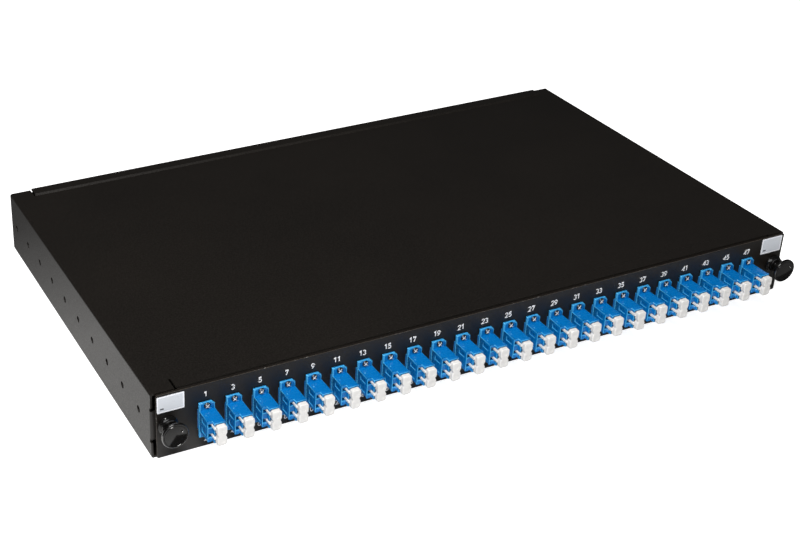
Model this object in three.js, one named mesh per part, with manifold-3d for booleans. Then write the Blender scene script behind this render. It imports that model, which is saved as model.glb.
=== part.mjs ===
// A sliding fibre optic patch panel, 1U high, for a 19 inch rack.
//
// A bent steel sleeve is fixed to the rack. A shallow drawer slides out of its front and carries
// a row of duplex fibre adapters with dust caps, a splice cassette, and a push latch at each end.
// Millimetres, +Z up. The front faces -Y. The pieces are laid out from the middle of the sleeve's
// front edge, at the height of its underside. The whole is then moved back, so that the origin is
// under the middle of its bounding box.

import * as THREE from "three";
import { mergeVertices } from "three/addons/utils/BufferGeometryUtils.js";
import Module from "manifold-3d";

const wasm = await Module();
wasm.setup();

// ---------------------------------------------------------------- driving dimensions

// Outer sleeve
const WIDTH = 436;
const DEPTH = 254;
const HEIGHT = 42;
const SHEET = 1.2;
const BEND_RADIUS = 1.5;
const FOOT_WIDTH = 30; // the side walls' bottom edges are bent in by this much
const STRIP_RISE = 1.0; // the front and rear edges of the roof are stepped up by this much
const STRIP_DEPTH = 8;
const STRIP_RAMP = 1.6;
const STRIP_LEFT = -203;
const STRIP_RIGHT = 205;
const SLIT = 0.8;

// Row of fixing holes along each side wall
const SIDE_HOLE_DIAMETER = 4.3;
const SIDE_HOLE_COUNT = 10;
const SIDE_HOLE_FIRST = 18;
const SIDE_HOLE_PITCH = 25;
const SIDE_HOLE_HEIGHT = 21;

// Tab bent in from the front edge of each side wall, which the latch grips
const TAB_LOW = 12.2;
const TAB_HIGH = 30.4;
const TAB_REACH = 17.5;
const TAB_RELIEF = 2.3;

// Front panel of the drawer
const PANEL_SHEET = 1.5;
const PANEL_FACE = -2; // its front surface stands this far ahead of the sleeve
const PANEL_LEFT = -215.5;
const PANEL_RIGHT = 216.9;
const PANEL_LOW = 0.4;
const PANEL_HIGH = 41.6;
const PANEL_CORNER = 1.2;
const PANEL_FLANGE_DEPTH = 7; // folded back under the roof's raised strip
const GAP = 0.3; // between neighbouring pieces

// Row of adapters
const PORT_COUNT = 24;
const PORT_PITCH = 16.3;
const ROW_MIDDLE = 1; // the row and the latches sit this far to the right of the middle
const ROW_HEIGHT = 19.4;

// Adapter, in its own frame: the origin is on the panel's face
const BODY_WIDTH = 9.3;
const BODY_HEIGHT = 12.8;
const BODY_FRONT = -13; // the shoulder beside the mouth
const MOUTH_FRONT = -15.8; // the mouth stands ahead of the shoulder
const MOUTH_LEFT = -1.9;
const BODY_REAR = 13.6;
const EAR_WIDTH = 9.6;
const EAR_HEIGHT = 22.6;
const EAR_THICKNESS = 2;
const SEAT_GAP = 0.2; // between the panel and what is fixed to its face
const EAR_CORNER = 1.6; // the ears' right corners are cut off by this much
const EAR_BEVEL = 0.5;
const SOCKET_PITCH = 6.25;
const SOCKET_SIZE = 4.9;
const SOCKET_RIGHT = 3.75;
const SOCKET_DEPTH = 9;
const KEYWAY_LEFT = -4.2;
const KEYWAY_LOW = -0.8; // from the middle of its socket
const KEYWAY_HIGH = 1.7;
const KEYWAY_DEPTH = 7;

// Dust cap, in its own frame: the origin is level with the adapter's shoulder
const GRIP_WIDTH = 5.7;
const GRIP_HEIGHT = 12.4;
const GRIP_FRONT = -6.5;
const GRIP_BACK = -3.3;
const GRIP_CORNER = 1.6;
const GRIP_WAIST = 0.7;
const STEM_HALF = 1.2;
const STEM_END = 6;
const KEY_LEFT = -2.6;
const KEY_LOW = -0.3;
const KEY_HIGH = 1.3;
const KEY_END = 4;

// Push latch at each end of the front panel, in its own frame: the origin is on the panel's face
const LATCH_X = 210; // from the middle of the row
const LATCH_HEIGHT = 21.3;
const LATCH_HOLE_RADIUS = 4.3;
const COLLAR_FRONT = -4.6;
const COLLAR_RADIUS = 4.9;
const FLANGE_RADIUS = 5.9;
const SHANK_RADIUS = 3.7;
const BARB_RADIUS = 4;
const PRONG_END = 9;
const PRONG_SLOT = 1;
const GROMMET_BORE = 2.5;
const ROD_RADIUS = 2.1;
const NECK_RADIUS = 3.6;
const KNOB_RADIUS = 7.8;
const KNOB_FACE = -11.4;
const KNOB_DOME = 0.5;

// Drawer tray
const TRAY_HALF_WIDTH = 199;
const TRAY_DEPTH = 238;
const TRAY_WALL_HIGH = 36;
const TRAY_REAR_HIGH = 12;
const TRAY_LIP_HIGH = 7.5;
const TRAY_CORNER = 12;
const STOP_EAR_REACH = 15;

// Splice cassette and its cover
const CASSETTE_WIDTH = 164;
const CASSETTE_DEPTH = 104;
const CASSETTE_HEIGHT = 9;
const CASSETTE_WALL = 1.6;
const CASSETTE_FLOOR = 1.2;
const CASSETTE_CORNER = 22;
const CASSETTE_MIDDLE_Y = 132;
const SPOOL_RADIUS = 24;
const SPOOL_X = 48;
const COMB_HALF_WIDTH = 12;
const COMB_HALF_LENGTH = 33;
const COMB_TEETH = 9;
const COMB_PITCH = 7.5;
const COMB_TOP = 6.5;
const ENTRY_X = 60;
const ENTRY_HALF_WIDTH = 7;
const COVER_THICKNESS = 1.5;

// Cable gland in the rear panel: lengths are along its axis from the panel's outer face
const GLAND_X = 150;
const GLAND_HEIGHT = 20.5;
const GLAND_FLATS = 19;
const GLAND_BORE = 4.8;
const GLAND_THREAD = 7.6;
const GLAND_REAR_THREAD = 6.8;
const GLAND_INSIDE = -8.5;
const GLAND_NUT_THICKNESS = 4.5;
const GLAND_THREAD_END = 14;
const DOME_START = 5.2;
const DOME_FLATS_END = 11.5;
const DOME_END = 19;
const DOME_RADIUS = 10.9;

const REAR_FACE = DEPTH - 0.2; // the rear panel sits just inside the sleeve
const LEFT = -WIDTH / 2;
const RIGHT = WIDTH / 2;
const SOCKET_ROWS = [-SOCKET_PITCH / 2, SOCKET_PITCH / 2];
const SOCKET_MIDDLE = SOCKET_RIGHT - SOCKET_SIZE / 2;
const BEND_STEPS = 5;
const ROUND_SIDES = 24;
const HOLE_SIDES = 12;
const PAST = 1; // how far a cutting tool runs past the surface it opens
const BITE = 0.5; // how far joined solids run into each other

// ---------------------------------------------------------------- making and cutting solids

const MERGE_DISTANCE = 1e-4;

// A closed three.js geometry as a solid that can be cut and joined.
function solid(geometry) {
  const bare = new THREE.BufferGeometry();
  bare.setAttribute("position", geometry.getAttribute("position"));
  bare.setIndex(geometry.index);
  const merged = mergeVertices(bare, MERGE_DISTANCE);
  const corners = merged.index.array;
  const kept = [];
  for (let i = 0; i < corners.length; i += 3) {
    const [a, b, c] = [corners[i], corners[i + 1], corners[i + 2]];
    if (a !== b && b !== c && c !== a) kept.push(a, b, c);
  }
  return new wasm.Manifold(
    new wasm.Mesh({
      numProp: 3,
      vertProperties: merged.getAttribute("position").array,
      triVerts: new Uint32Array(kept),
    }),
  );
}

const join = (first, ...others) => others.reduce((made, next) => made.add(next), first);
const cut = (body, ...tools) => tools.reduce((made, tool) => made.subtract(tool), body);

// A block given by its limits on each axis, in either order.
function block(x0, x1, y0, y1, z0, z1) {
  const geometry = new THREE.BoxGeometry(Math.abs(x1 - x0), Math.abs(y1 - y0), Math.abs(z1 - z0));
  geometry.translate((x0 + x1) / 2, (y0 + y1) / 2, (z0 + z1) / 2);
  return solid(geometry);
}

const EXTRUDE = { bevelEnabled: false, curveSegments: BEND_STEPS };

// An outline in (x, z), given thickness from y0 to y1.
function alongY(shape, y0, y1, options = {}) {
  const geometry = new THREE.ExtrudeGeometry(shape, { ...EXTRUDE, depth: y1 - y0, ...options });
  geometry.rotateX(Math.PI / 2);
  geometry.translate(0, y1, 0);
  return solid(geometry);
}

// An outline in (y, z), given thickness from x0 to x1.
function alongX(shape, x0, x1) {
  const geometry = new THREE.ExtrudeGeometry(shape, { ...EXTRUDE, depth: x1 - x0 });
  const [x, y, z] = [new THREE.Vector3(1, 0, 0), new THREE.Vector3(0, 1, 0), new THREE.Vector3(0, 0, 1)];
  geometry.applyMatrix4(new THREE.Matrix4().makeBasis(y, z, x));
  geometry.translate(x0, 0, 0);
  return solid(geometry);
}

// An outline in (x, y), given thickness from z0 to z1.
function alongZ(shape, z0, z1) {
  const geometry = new THREE.ExtrudeGeometry(shape, { ...EXTRUDE, depth: z1 - z0 });
  geometry.translate(0, 0, z0);
  return solid(geometry);
}

// A round rod along Y, or a prism when it has few sides.
function rodY(radius, y0, y1, x, z, sides = ROUND_SIDES) {
  const geometry = new THREE.CylinderGeometry(radius, radius, y1 - y0, sides);
  geometry.translate(x, (y0 + y1) / 2, z);
  return solid(geometry);
}

// A round rod along X.
function rodX(radius, x0, x1, y, z) {
  const geometry = new THREE.CylinderGeometry(radius, radius, x1 - x0, HOLE_SIDES);
  geometry.rotateZ(Math.PI / 2);
  geometry.translate((x0 + x1) / 2, y, z);
  return solid(geometry);
}

// A round rod along Z.
function rodZ(radius, x, y, z0, z1) {
  const geometry = new THREE.CylinderGeometry(radius, radius, z1 - z0, ROUND_SIDES);
  geometry.rotateX(Math.PI / 2);
  geometry.translate(x, y, (z0 + z1) / 2);
  return solid(geometry);
}

// A body turned about the Y axis from a profile of [radius, y] points.
function turned(profile) {
  const points = profile.map(([radius, y]) => new THREE.Vector2(radius, y));
  return solid(new THREE.LatheGeometry(points, ROUND_SIDES));
}

function polygon(points) {
  return new THREE.Shape(points.map(([u, v]) => new THREE.Vector2(u, v)));
}

function roundedRectangle(u0, u1, v0, v1, radius) {
  const shape = new THREE.Shape();
  shape.moveTo(u0 + radius, v0);
  shape.lineTo(u1 - radius, v0);
  shape.absarc(u1 - radius, v0 + radius, radius, -Math.PI / 2, 0, false);
  shape.lineTo(u1, v1 - radius);
  shape.absarc(u1 - radius, v1 - radius, radius, 0, Math.PI / 2, false);
  shape.lineTo(u0 + radius, v1);
  shape.absarc(u0 + radius, v1 - radius, radius, Math.PI / 2, Math.PI, false);
  shape.lineTo(u0, v0 + radius);
  shape.absarc(u0 + radius, v0 + radius, radius, Math.PI, 1.5 * Math.PI, false);
  return shape;
}

// A finished solid as a three.js geometry, with flat faces.
function geometryOf(body) {
  const made = body.getMesh();
  const geometry = new THREE.BufferGeometry();
  const positions = new Float32Array(made.numVert * 3);
  for (let i = 0; i < made.numVert; i++) {
    const start = i * made.numProp;
    positions.set(made.vertProperties.subarray(start, start + 3), i * 3);
  }
  geometry.setAttribute("position", new THREE.BufferAttribute(positions, 3));
  geometry.setIndex(new THREE.BufferAttribute(made.triVerts, 1));
  const flat = geometry.toNonIndexed();
  flat.computeVertexNormals();
  return flat;
}

function piece(name, geometry, material, position = [0, 0, 0]) {
  const mesh = new THREE.Mesh(geometry, material);
  mesh.name = name;
  mesh.position.set(...position);
  return mesh;
}

const latchX = (side) => ROW_MIDDLE + side * LATCH_X;

const twoDigits = (number) => String(number).padStart(2, "0");

// ---------------------------------------------------------------- materials

const material = (color, roughness, metalness = 0) =>
  new THREE.MeshStandardMaterial({ color, roughness, metalness });

const BLACK_STEEL = material(0x1d1b1a, 0.6, 0.2);
const BLUE_PLASTIC = material(0x0b74c4, 0.4);
const WHITE_PLASTIC = material(0xeeecea, 0.5);
const BLACK_PLASTIC = material(0x0c0c0d, 0.2);
const GREY_PLASTIC = material(0x8d9196, 0.55);
const CLEAR_PLASTIC = material(0xdfe6ea, 0.2);
const GLAND_PLASTIC = material(0x2a2b2d, 0.5);

// ---------------------------------------------------------------- outer sleeve

// The raised strip along one edge of the roof: a step, with a slit at each end.
function raisedStrip(edge, inward) {
  const top = HEIGHT + STRIP_RISE;
  const flat = edge + inward * STRIP_DEPTH;
  const foot = flat + inward * STRIP_RAMP;
  const outline = [
    [edge, top],
    [edge, top - SHEET],
    [flat, top - SHEET],
    [foot, HEIGHT - SHEET],
    [foot, HEIGHT],
    [flat, top],
  ];
  return alongX(polygon(inward > 0 ? outline : outline.reverse()), STRIP_LEFT, STRIP_RIGHT);
}

// The part of the roof that the strip replaces, with its slits.
function stripOpening(edge, inward) {
  const foot = edge + inward * (STRIP_DEPTH + STRIP_RAMP);
  const low = HEIGHT - SHEET - PAST;
  return block(STRIP_LEFT - SLIT, STRIP_RIGHT + SLIT, edge - inward * PAST, foot, low, HEIGHT + PAST);
}

// The tab in plan view: it leaves the side wall in a bend and runs in behind the front panel.
function frontTab(side) {
  const wall = side * RIGHT;
  const inner = BEND_RADIUS - SHEET;
  const turnX = wall - side * BEND_RADIUS;
  const end = wall - side * TAB_REACH;
  const shape = new THREE.Shape();
  const [outside, front] = side > 0 ? [0, -Math.PI / 2] : [Math.PI, 1.5 * Math.PI];
  shape.moveTo(wall, BEND_RADIUS);
  shape.absarc(turnX, BEND_RADIUS, BEND_RADIUS, outside, front, side > 0);
  shape.lineTo(end, 0);
  shape.lineTo(end, SHEET);
  shape.lineTo(turnX, SHEET);
  shape.absarc(turnX, BEND_RADIUS, inner, front, outside, side < 0);
  shape.lineTo(wall - side * SHEET, BEND_RADIUS);
  return cut(
    alongZ(shape, TAB_LOW, TAB_HIGH),
    rodY(LATCH_HOLE_RADIUS, -PAST, SHEET + PAST, latchX(side), LATCH_HEIGHT, HOLE_SIDES),
  );
}

// The wall's front edge is cleared where the tab bends in, and a little above and below it.
function tabOpening(side) {
  const outer = side * (RIGHT + PAST);
  const inner = side * (RIGHT - SHEET - PAST);
  return block(outer, inner, -PAST, BEND_RADIUS, TAB_LOW - TAB_RELIEF, TAB_HIGH + TAB_RELIEF);
}

function outerSleeve() {
  const section = roundedRectangle(LEFT, RIGHT, 0, HEIGHT, BEND_RADIUS);
  const hollow = roundedRectangle(
    LEFT + SHEET,
    RIGHT - SHEET,
    SHEET,
    HEIGHT - SHEET,
    BEND_RADIUS - SHEET,
  );
  section.holes.push(hollow);
  const bottomOpening = block(
    LEFT + FOOT_WIDTH,
    RIGHT - FOOT_WIDTH,
    -PAST,
    DEPTH + PAST,
    -PAST,
    SHEET + PAST,
  );
  const sideHoles = Array.from({ length: SIDE_HOLE_COUNT }, (_, i) =>
    rodX(
      SIDE_HOLE_DIAMETER / 2,
      LEFT - PAST,
      RIGHT + PAST,
      SIDE_HOLE_FIRST + i * SIDE_HOLE_PITCH,
      SIDE_HOLE_HEIGHT,
    ),
  );
  const shell = cut(
    alongY(section, 0, DEPTH),
    bottomOpening,
    ...sideHoles,
    stripOpening(0, 1),
    stripOpening(DEPTH, -1),
    tabOpening(-1),
    tabOpening(1),
  );
  return join(shell, raisedStrip(0, 1), raisedStrip(DEPTH, -1), frontTab(-1), frontTab(1));
}

// ---------------------------------------------------------------- rear panel

// A plate that closes the back, with a flange under the raised strip and a welded ear each side.
function rearPanel() {
  const front = REAR_FACE - SHEET;
  const flangeFront = DEPTH - STRIP_DEPTH + GAP;
  const flangeTop = HEIGHT + STRIP_RISE - SHEET - GAP;
  const wall = RIGHT - SHEET - GAP;
  const [left, right] = [STRIP_LEFT + PAST, STRIP_RIGHT - PAST];
  const plate = block(-wall, wall, front, REAR_FACE, SHEET + GAP, HEIGHT - SHEET - GAP);
  const web = block(left, right, front, REAR_FACE, HEIGHT / 2, flangeTop);
  const flange = block(left, right, flangeFront, REAR_FACE, flangeTop - SHEET, flangeTop);
  const ear = (side) =>
    block(side * wall, side * (wall - SHEET), flangeFront, REAR_FACE, TAB_LOW, TAB_HIGH);
  const holeRadius = GLAND_THREAD + GAP;
  const hole = rodY(holeRadius, front - PAST, REAR_FACE + PAST, GLAND_X, GLAND_HEIGHT);
  return cut(join(plate, web, flange, ear(-1), ear(1)), hole);
}

// ---------------------------------------------------------------- drawer tray

// Base, side walls, low rear wall and front lip, cut from one block. An ear at each rear corner
// stops the drawer against the tabs of the sleeve when it is pulled right out.
function drawerTray() {
  const low = SHEET + GAP;
  const front = PANEL_FACE + PANEL_SHEET + GAP;
  const half = TRAY_HALF_WIDTH;
  const inside = half - SHEET;
  const rear = TRAY_DEPTH;
  const above = TRAY_WALL_HIGH + PAST;
  const tray = cut(
    block(-half, half, front, rear, low, TRAY_WALL_HIGH),
    block(-inside, inside, front + SHEET, rear - SHEET, low + SHEET, above),
    block(-inside, inside, front - PAST, front + 2 * SHEET, TRAY_LIP_HIGH, above),
    block(-inside, inside, rear - 2 * SHEET, rear + PAST, TRAY_REAR_HIGH, above),
    alongX(cornerAbove(front, TRAY_WALL_HIGH, TRAY_CORNER), -half - PAST, half + PAST),
  );
  const stopEar = (side) => {
    const root = side * (half - BITE);
    const tip = side * (half + STOP_EAR_REACH);
    return block(root, tip, rear - SHEET - GAP, rear - GAP, TAB_LOW + GAP, TAB_HIGH - GAP);
  };
  return join(tray, stopEar(-1), stopEar(1));
}

// The triangle above a sloping corner, in (y, z), to be cut away.
function cornerAbove(y, z, size) {
  return polygon([
    [y - PAST, z - size - PAST],
    [y + size + PAST, z + PAST],
    [y - PAST, z + PAST],
  ]);
}

// ---------------------------------------------------------------- front panel

const portX = (index) => ROW_MIDDLE + (index - (PORT_COUNT - 1) / 2) * PORT_PITCH;

function frontPanel() {
  const back = PANEL_FACE + PANEL_SHEET;
  const plate = alongY(
    roundedRectangle(PANEL_LEFT, PANEL_RIGHT, PANEL_LOW, PANEL_HIGH, PANEL_CORNER),
    PANEL_FACE,
    back,
  );
  const flange = block(
    STRIP_LEFT + PAST,
    STRIP_RIGHT - PAST,
    back - BITE,
    PANEL_FLANGE_DEPTH,
    PANEL_HIGH - SHEET,
    PANEL_HIGH,
  );
  const halfWidth = BODY_WIDTH / 2 + GAP;
  const halfHeight = BODY_HEIGHT / 2 + GAP;
  const windows = Array.from({ length: PORT_COUNT }, (_, i) =>
    block(
      portX(i) - halfWidth,
      portX(i) + halfWidth,
      PANEL_FACE - PAST,
      back + PAST,
      ROW_HEIGHT - halfHeight,
      ROW_HEIGHT + halfHeight,
    ),
  );
  const latchHole = (side) =>
    rodY(LATCH_HOLE_RADIUS, PANEL_FACE - PAST, back + PAST, latchX(side), LATCH_HEIGHT, HOLE_SIDES);
  return cut(join(plate, flange), ...windows, latchHole(-1), latchHole(1));
}

// ---------------------------------------------------------------- adapter and dust cap

// Two sockets, one above the other, cut from the mouth at y0 to the end at y1.
function sockets(y0, y1) {
  const left = SOCKET_RIGHT - SOCKET_SIZE;
  const half = SOCKET_SIZE / 2;
  return SOCKET_ROWS.map((z) => block(left, SOCKET_RIGHT, y0, y1, z - half, z + half));
}

// The keyway beside each front socket, for the latch of a connector.
function keyways(y0, y1) {
  return SOCKET_ROWS.map((z) =>
    block(KEYWAY_LEFT, SOCKET_MIDDLE, y0, y1, z + KEYWAY_LOW, z + KEYWAY_HIGH),
  );
}

function adapter() {
  const [w, h, c] = [EAR_WIDTH / 2 - EAR_BEVEL, EAR_HEIGHT / 2 - EAR_BEVEL, EAR_CORNER];
  const outline = polygon([
    [-w, -h],
    [w - c, -h],
    [w, c - h],
    [w, h - c],
    [w - c, h],
    [-w, h],
  ]);
  const bevel = {
    bevelEnabled: true,
    bevelSize: EAR_BEVEL,
    bevelThickness: EAR_BEVEL,
    bevelSegments: 1,
  };
  const back = -SEAT_GAP - EAR_BEVEL;
  const ears = alongY(outline, back + 2 * EAR_BEVEL - EAR_THICKNESS, back, bevel);
  const body = block(
    -BODY_WIDTH / 2,
    BODY_WIDTH / 2,
    BODY_FRONT,
    BODY_REAR,
    -BODY_HEIGHT / 2,
    BODY_HEIGHT / 2,
  );
  const mouth = block(
    MOUTH_LEFT,
    BODY_WIDTH / 2,
    MOUTH_FRONT,
    BODY_FRONT + BITE,
    -BODY_HEIGHT / 2,
    BODY_HEIGHT / 2,
  );
  return cut(
    join(body, mouth, ears),
    ...sockets(MOUTH_FRONT - PAST, BODY_FRONT + SOCKET_DEPTH),
    ...keyways(MOUTH_FRONT - PAST, BODY_FRONT + KEYWAY_DEPTH),
    ...sockets(BODY_REAR - SOCKET_DEPTH, BODY_REAR + PAST),
  );
}

// The grip's outline: a rounded rectangle, pinched in at its waist.
function gripOutline() {
  const [w, h, r] = [GRIP_WIDTH / 2, GRIP_HEIGHT / 2, GRIP_CORNER];
  const shape = new THREE.Shape();
  shape.moveTo(r - w, -h);
  shape.absarc(w - r, r - h, r, -Math.PI / 2, 0, false);
  shape.lineTo(w, -2 * GRIP_WAIST);
  shape.lineTo(w - GRIP_WAIST, 0);
  shape.lineTo(w, 2 * GRIP_WAIST);
  shape.absarc(w - r, h - r, r, 0, Math.PI / 2, false);
  shape.absarc(r - w, h - r, r, Math.PI / 2, Math.PI, false);
  shape.lineTo(-w, 2 * GRIP_WAIST);
  shape.lineTo(GRIP_WAIST - w, 0);
  shape.lineTo(-w, -2 * GRIP_WAIST);
  shape.absarc(r - w, r - h, r, Math.PI, 1.5 * Math.PI, false);
  return shape;
}

// A grip shaped like a figure of eight, with a stem for each socket and a key for each keyway.
function dustCap() {
  const grip = alongY(gripOutline(), GRIP_FRONT, GRIP_BACK, { curveSegments: 2 }).translate(
    SOCKET_MIDDLE,
    0,
    0,
  );
  const [left, right] = [SOCKET_MIDDLE - STEM_HALF, SOCKET_MIDDLE + STEM_HALF];
  const root = GRIP_BACK - BITE;
  const stems = SOCKET_ROWS.map((z) =>
    block(left, right, root, STEM_END, z - STEM_HALF, z + STEM_HALF),
  );
  const keys = SOCKET_ROWS.map((z) =>
    block(KEY_LEFT, left + BITE, root, KEY_END, z + KEY_LOW, z + KEY_HIGH),
  );
  return join(grip, ...stems, ...keys);
}

// ---------------------------------------------------------------- push latch

// A collar on the panel's face, and a shank split into four prongs that reaches behind the tab.
function latchGrommet() {
  const body = turned([
    [GROMMET_BORE, COLLAR_FRONT],
    [COLLAR_RADIUS - 0.7, COLLAR_FRONT],
    [COLLAR_RADIUS - 0.1, COLLAR_FRONT + 0.5],
    [COLLAR_RADIUS, -2.5],
    [FLANGE_RADIUS, -2.1],
    [FLANGE_RADIUS, -SEAT_GAP],
    [SHANK_RADIUS, -SEAT_GAP],
    [BARB_RADIUS, PRONG_END / 2],
    [BARB_RADIUS - 0.7, PRONG_END],
    [GROMMET_BORE, PRONG_END],
    [GROMMET_BORE, COLLAR_FRONT],
  ]);
  const [half, across, end] = [PRONG_SLOT / 2, FLANGE_RADIUS, PRONG_END + PAST];
  const upright = block(-half, half, PRONG_SLOT, end, -across, across);
  const level = block(-across, across, PRONG_SLOT, end, -half, half);
  return cut(body, upright, level);
}

// A wide, slightly domed knob on a neck, with a rod down the middle of the grommet.
function latchPlunger() {
  const neckEnd = COLLAR_FRONT - GAP;
  const rodEnd = PRONG_END - GAP;
  return turned([
    [0, KNOB_FACE - KNOB_DOME],
    [KNOB_RADIUS - 1.8, KNOB_FACE],
    [KNOB_RADIUS - 0.5, KNOB_FACE + 0.3],
    [KNOB_RADIUS, KNOB_FACE + 0.8],
    [KNOB_RADIUS, KNOB_FACE + 1.4],
    [KNOB_RADIUS - 1, KNOB_FACE + 2],
    [NECK_RADIUS + 0.4, KNOB_FACE + 3.4],
    [NECK_RADIUS, neckEnd],
    [ROD_RADIUS, neckEnd],
    [ROD_RADIUS, rodEnd],
    [0, rodEnd],
  ]);
}

// ---------------------------------------------------------------- splice cassette

const cassetteOutline = (inset) => {
  const [w, d] = [CASSETTE_WIDTH / 2 - inset, CASSETTE_DEPTH / 2 - inset];
  return roundedRectangle(-w, w, -d, d, CASSETTE_CORNER - inset);
};

// The gaps in the long walls where fibres come in.
const entry = (side, z0, z1) => {
  const x = side * ENTRY_X;
  const y = CASSETTE_DEPTH / 2;
  return block(x - ENTRY_HALF_WIDTH, x + ENTRY_HALF_WIDTH, y - 2 * CASSETTE_WALL, y + PAST, z0, z1);
};

// A shallow tray with two round spools for the slack fibre and a comb that grips the splices.
function spliceCassette() {
  const top = CASSETTE_HEIGHT;
  const floor = CASSETTE_FLOOR;
  const tray = cut(
    alongZ(cassetteOutline(0), 0, top),
    alongZ(cassetteOutline(CASSETTE_WALL), floor, top + PAST),
  );
  const spools = [-1, 1].map((side) =>
    cut(
      rodZ(SPOOL_RADIUS, side * SPOOL_X, 0, BITE, top - SHEET),
      rodZ(SPOOL_RADIUS - CASSETTE_WALL, side * SPOOL_X, 0, floor, top + PAST),
    ),
  );
  const [w, l] = [COMB_HALF_WIDTH, COMB_HALF_LENGTH];
  const combBase = block(-w, w, -l, l, BITE, 2 * floor);
  const teeth = Array.from({ length: COMB_TEETH }, (_, i) => {
    const y = (i - (COMB_TEETH - 1) / 2) * COMB_PITCH;
    return block(BITE - w, w - BITE, y - floor / 2, y + floor / 2, floor, COMB_TOP);
  });
  const entries = [-1, 1].map((side) => entry(side, COMB_TOP / 2, top + PAST));
  return cut(join(tray, ...spools, combBase, ...teeth), ...entries);
}

function spliceCover() {
  const plate = alongZ(cassetteOutline(0), 0, COVER_THICKNESS);
  return cut(plate, entry(-1, -PAST, COVER_THICKNESS + PAST), entry(1, -PAST, COVER_THICKNESS + PAST));
}

// ---------------------------------------------------------------- cable gland

// A prism with six flats, given the distance across them.
const hexagon = (y0, y1) => rodY(GLAND_FLATS / Math.sqrt(3), y0, y1, 0, 0, 6);

// A threaded body through the rear panel, with its own hexagon outside and the lock nut inside.
function glandBody() {
  const inside = -SHEET - GAP;
  return cut(
    join(
      rodY(GLAND_THREAD, GLAND_INSIDE, PAST, 0, 0),
      hexagon(inside - GLAND_NUT_THICKNESS, inside),
      hexagon(GAP, GAP + GLAND_NUT_THICKNESS),
      rodY(GLAND_REAR_THREAD, GLAND_NUT_THICKNESS, GLAND_THREAD_END, 0, 0),
    ),
    rodY(GLAND_BORE, GLAND_INSIDE - PAST, GLAND_THREAD_END + PAST, 0, 0),
  );
}

// The dome nut that squeezes the seal onto the cable.
function glandNut() {
  const dome = turned([
    [0, DOME_START],
    [DOME_RADIUS - 0.5, DOME_START],
    [DOME_RADIUS, DOME_START + 0.6],
    [DOME_RADIUS, DOME_FLATS_END],
    [DOME_RADIUS - 2.5, DOME_END - 2],
    [DOME_RADIUS - 3.7, DOME_END - 0.4],
    [DOME_RADIUS - 4.7, DOME_END],
    [0, DOME_END],
  ]);
  const flats = join(
    hexagon(DOME_START - PAST, DOME_FLATS_END),
    rodY(GLAND_FLATS / 2, DOME_FLATS_END - BITE, DOME_END + PAST, 0, 0),
  );
  return cut(
    dome.intersect(flats),
    rodY(GLAND_BORE, DOME_START - PAST, DOME_END + PAST, 0, 0),
    rodY(GLAND_REAR_THREAD + GAP, DOME_START - PAST, GLAND_THREAD_END + GAP, 0, 0),
  );
}

// ---------------------------------------------------------------- assembly

function buildSleeveGroup() {
  const group = new THREE.Group();
  group.add(piece("outer_sleeve", geometryOf(outerSleeve()), BLACK_STEEL));
  group.add(piece("rear_panel", geometryOf(rearPanel()), BLACK_STEEL));
  const gland = new THREE.Group();
  gland.position.set(GLAND_X, REAR_FACE, GLAND_HEIGHT);
  gland.add(piece("gland_body", geometryOf(glandBody()), GLAND_PLASTIC));
  gland.add(piece("gland_nut", geometryOf(glandNut()), GLAND_PLASTIC));
  group.add(gland);
  return group;
}

function buildPortRow() {
  const row = new THREE.Group();
  row.position.set(0, PANEL_FACE, ROW_HEIGHT);
  const adapterGeometry = geometryOf(adapter());
  const capGeometry = geometryOf(dustCap());
  for (let i = 0; i < PORT_COUNT; i++) {
    const number = twoDigits(i + 1);
    const port = new THREE.Group();
    port.position.x = portX(i);
    port.add(piece("adapter_" + number, adapterGeometry, BLUE_PLASTIC));
    port.add(piece("dust_cap_" + number, capGeometry, WHITE_PLASTIC, [0, BODY_FRONT, 0]));
    row.add(port);
  }
  return row;
}

function buildLatch(name, side, grommetGeometry, plungerGeometry) {
  const latch = new THREE.Group();
  latch.position.set(latchX(side), PANEL_FACE, LATCH_HEIGHT);
  latch.add(piece(name + "_grommet", grommetGeometry, BLACK_PLASTIC));
  latch.add(piece(name + "_plunger", plungerGeometry, BLACK_PLASTIC));
  return latch;
}

function buildDrawerGroup() {
  const drawer = new THREE.Group();
  drawer.add(piece("drawer_tray", geometryOf(drawerTray()), BLACK_STEEL));
  drawer.add(piece("front_panel", geometryOf(frontPanel()), BLACK_STEEL));
  drawer.add(buildPortRow());
  const grommet = geometryOf(latchGrommet());
  const plunger = geometryOf(latchPlunger());
  drawer.add(buildLatch("latch_left", -1, grommet, plunger));
  drawer.add(buildLatch("latch_right", 1, grommet, plunger));
  const cassette = new THREE.Group();
  cassette.position.set(0, CASSETTE_MIDDLE_Y, 2 * SHEET + 2 * GAP);
  cassette.add(piece("splice_cassette", geometryOf(spliceCassette()), GREY_PLASTIC));
  const coverAt = [0, 0, CASSETTE_HEIGHT + GAP];
  cassette.add(piece("splice_cover", geometryOf(spliceCover()), CLEAR_PLASTIC, coverAt));
  drawer.add(cassette);
  return drawer;
}

const foremost = PANEL_FACE + BODY_FRONT + GRIP_FRONT; // the dust caps
const rearmost = REAR_FACE + DOME_END; // the cable gland

const patchPanel = new THREE.Group();
patchPanel.position.y = -(foremost + rearmost) / 2;
patchPanel.add(buildSleeveGroup());
patchPanel.add(buildDrawerGroup());

export default patchPanel;
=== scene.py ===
"""The looks of a sliding fibre optic patch panel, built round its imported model. Metres, +Z up."""

import math

import bmesh
import bpy
from mathutils import Matrix, Vector


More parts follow.
